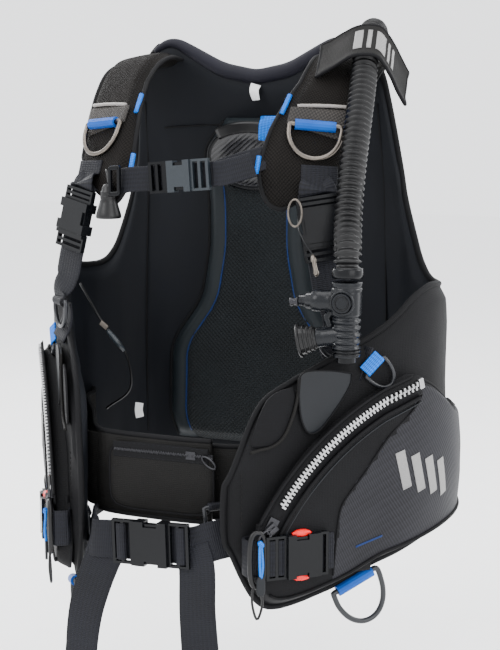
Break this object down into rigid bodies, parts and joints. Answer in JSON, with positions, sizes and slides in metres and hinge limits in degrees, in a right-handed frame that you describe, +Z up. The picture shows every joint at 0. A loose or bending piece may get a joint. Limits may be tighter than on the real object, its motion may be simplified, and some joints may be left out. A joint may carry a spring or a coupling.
{
  "type": "buoyancy compensator vest",
  "caption": "Scuba diving buoyancy vest: inflatable jacket with padded straps, hard backpack plate, cylinder band, side-release buckles, steel D-rings and corrugated inflator hose.",
  "frame": {"origin": "centre of the rubber face on the backpack plate that the diving cylinder rests on", "axes": "+Y out of that face, towards the cylinder (the wearer faces -Y); +Z up; +X to the wearer's left, on the inflator hose's side"},
  "size_m": [0.4681, 0.5557, 0.7362],
  "materials": {
    "shell_fabric": "coarse charcoal nylon weave, matt",
    "cell_fabric": "coated air-holding cloth",
    "lining_fabric": "smooth blue-black lining",
    "pad_foam": "spacer mesh over foam",
    "webbing": "ribbed black webbing",
    "blue_webbing": "ribbed bright blue webbing",
    "black_plastic": "moulded nylon, fine grain",
    "grey_plastic": "moulded nylon, satin",
    "red_plastic": "glossy moulded acetal",
    "steel": "brushed stainless steel",
    "dark_metal": "dark anodised",
    "rubber": "matt black rubber"
  },
  "bodies": {
    "vest": {"inner_lining": "lining_fabric", "air_cell": "cell_fabric", "outer_shell": "shell_fabric", "back_pad": "pad_foam", "yoke_plate": "black_plastic", "backpack_plate": "black_plastic", "cylinder_face": "rubber", "cylinder_band": "webbing", "carry_handle": "webbing", "cam_buckle_base": "black_plastic", "shoulder_strap_left": "shell_fabric", "shoulder_strap_right": "shell_fabric", "chest_ring_sleeve_left": "blue_webbing", "chest_ring_sleeve_right": "blue_webbing", "bottom_ring_sleeve_left": "blue_webbing", "bottom_ring_sleeve_right": "blue_webbing", "shoulder_buckle_socket_left": "black_plastic", "shoulder_buckle_socket_right": "black_plastic", "lower_strap_left": "webbing", "lower_strap_right": "webbing", "chest_buckle_socket": "grey_plastic", "chest_strap_left": "webbing", "chest_strap_right": "webbing", "waist_buckle_socket": "black_plastic", "waist_strap_left": "webbing", "waist_strap_right": "webbing", "waistband_left": "shell_fabric", "waistband_right": "shell_fabric", "cargo_pocket_left": "shell_fabric", "cargo_pocket_right": "shell_fabric", "pouch_buckle_prongs_left": "red_plastic", "pouch_buckle_prongs_right": "red_plastic", "inflator_hose": "rubber", "hose_elbow": "black_plastic", "hose_cover": "shell_fabric", "inflator_body": "grey_plastic", "mouthpiece": "rubber", "rear_dump_valve": "black_plastic"},
    "cam_lever": {"cam_buckle_lever": "grey_plastic"},
    "chest_ring_L": {"chest_ring_left": "steel"},
    "chest_ring_R": {"chest_ring_right": "steel"},
    "lobe_ring_L": {"lobe_ring_left": "dark_metal"},
    "lobe_ring_R": {"lobe_ring_right": "dark_metal"},
    "bottom_ring_L": {"bottom_ring_left": "dark_metal"},
    "bottom_ring_R": {"bottom_ring_right": "dark_metal"},
    "shoulder_prongs_L": {"shoulder_buckle_prongs_left": "black_plastic"},
    "shoulder_prongs_R": {"shoulder_buckle_prongs_right": "black_plastic"},
    "chest_prongs": {"chest_buckle_prongs": "black_plastic"},
    "waist_prongs": {"waist_buckle_prongs": "black_plastic"},
    "pouch_L": {"weight_pouch_left": "shell_fabric", "pouch_buckle_socket_left": "grey_plastic"},
    "pouch_R": {"weight_pouch_right": "shell_fabric", "pouch_buckle_socket_right": "grey_plastic"},
    "zip_pull_L": {"zip_slider_left": "dark_metal"},
    "zip_pull_R": {"zip_slider_right": "dark_metal"},
    "waist_zip_pull": {"waistband_zip_slider": "dark_metal"},
    "inflate": {"inflate_button": "grey_plastic"},
    "deflate": {"deflate_button": "black_plastic"},
    "dump_pull": {"dump_toggle": "rubber"}
  },
  "joints": [
    {"name": "cam_lever_hinge", "type": "hinge", "parent": "vest", "child": "cam_lever", "pos_m": [0.03, 0.2008, 0.045], "axis": [0, 0, -1], "range_deg": [0, 130]},
    {"name": "chest_ring_L_swing", "type": "hinge", "parent": "vest", "child": "chest_ring_L", "pos_m": [0.11582, -0.19686, 0.20895], "axis": [-0.922, -0.3777, 0.085], "range_deg": [0, 42]},
    {"name": "chest_ring_R_swing", "type": "hinge", "parent": "vest", "child": "chest_ring_R", "pos_m": [-0.11582, -0.19686, 0.20895], "axis": [-0.922, 0.3777, -0.085], "range_deg": [0, 42]},
    {"name": "lobe_ring_L_swing", "type": "hinge", "parent": "vest", "child": "lobe_ring_L", "pos_m": [0.15, -0.23, 0.014], "axis": [-0.7314, -0.682, 0], "range_deg": [-15, 36]},
    {"name": "lobe_ring_R_swing", "type": "hinge", "parent": "vest", "child": "lobe_ring_R", "pos_m": [-0.154, -0.226, 0.026], "axis": [-0.7314, 0.682, 0], "range_deg": [0, 36]},
    {"name": "bottom_ring_L_swing", "type": "hinge", "parent": "vest", "child": "bottom_ring_L", "pos_m": [0.17779, -0.24869, -0.22913], "axis": [-0.6652, -0.6203, -0.4155], "range_deg": [-25, 60]},
    {"name": "bottom_ring_R_swing", "type": "hinge", "parent": "vest", "child": "bottom_ring_R", "pos_m": [-0.1122, -0.28322, -0.25283], "axis": [-0.5273, 0.812, -0.2501], "range_deg": [-25, 60]},
    {"name": "shoulder_prongs_L_release", "type": "slide", "parent": "vest", "child": "shoulder_prongs_L", "axis": [0.2001, -0.08, -0.9765], "range_m": [0, 0.028]},
    {"name": "shoulder_prongs_R_release", "type": "slide", "parent": "vest", "child": "shoulder_prongs_R", "axis": [-0.2001, -0.08, -0.9765], "range_m": [0, 0.028]},
    {"name": "chest_prongs_release", "type": "slide", "parent": "vest", "child": "chest_prongs", "axis": [-0.9945, 0.0532, -0.0903], "range_m": [0, 0.03]},
    {"name": "waist_prongs_release", "type": "slide", "parent": "vest", "child": "waist_prongs", "axis": [-0.9995, 0, -0.03], "range_m": [0, 0.03]},
    {"name": "pouch_L_draw", "type": "slide", "parent": "vest", "child": "pouch_L", "axis": [-0.7314, -0.682, 0], "range_m": [0, 0.08]},
    {"name": "pouch_R_draw", "type": "slide", "parent": "vest", "child": "pouch_R", "axis": [0.5446, -0.8387, 0], "range_m": [0, 0.08]},
    {"name": "zip_L_run", "type": "hinge", "parent": "vest", "child": "zip_pull_L", "pos_m": [0.29736, -0.16371, -0.297], "axis": [-0.682, 0.7314, 0], "range_deg": [0, 32]},
    {"name": "zip_R_run", "type": "hinge", "parent": "vest", "child": "zip_pull_R", "pos_m": [-0.25459, -0.09959, -0.297], "axis": [-0.8387, -0.5446, 0], "range_deg": [0, 32]},
    {"name": "waist_zip_run", "type": "slide", "parent": "vest", "child": "waist_zip_pull", "axis": [-1, 0, 0], "range_m": [0, 0.08]},
    {"name": "inflate_press", "type": "slide", "parent": "vest", "child": "inflate", "axis": [0, 1, 0], "range_m": [0, 0.003], "stiffness_N_per_m": 300},
    {"name": "deflate_press", "type": "slide", "parent": "vest", "child": "deflate", "axis": [0, 0, 1], "range_m": [0, 0.003], "stiffness_N_per_m": 300},
    {"name": "dump_pull_down", "type": "slide", "parent": "vest", "child": "dump_pull", "axis": [0, 0, -1], "range_m": [0, 0.015], "stiffness_N_per_m": 150}
  ]
}
